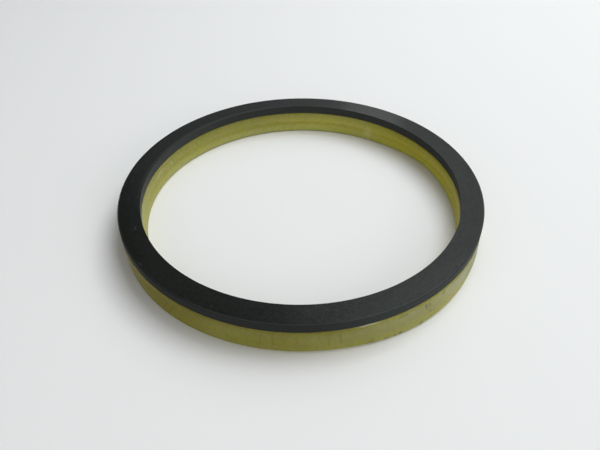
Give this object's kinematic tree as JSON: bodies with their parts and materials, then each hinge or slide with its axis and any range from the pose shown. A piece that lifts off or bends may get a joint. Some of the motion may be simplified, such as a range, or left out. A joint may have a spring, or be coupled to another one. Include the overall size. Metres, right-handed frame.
{
  "type": "u cup seal",
  "caption": "Large U-cup hydraulic seal: translucent polyurethane ring with a U groove between two lips, and a stiff dark back-up ring on its heel.",
  "frame": {"origin": "on the seal's axis, in the plane that the lip tips stand on", "axes": "+Z along the seal's axis, from the lips to the heel and the back-up ring; X and Y are any two radii"},
  "size_m": [0.2055, 0.2054, 0.0195],
  "materials": {
    "polyurethane": "translucent olive-amber polyurethane, satin",
    "backup_nylon": "matt charcoal filled nylon, turned"
  },
  "bodies": {
    "root": {"u_cup": "polyurethane", "backup_ring": "backup_nylon"}
  },
  "joints": []
}
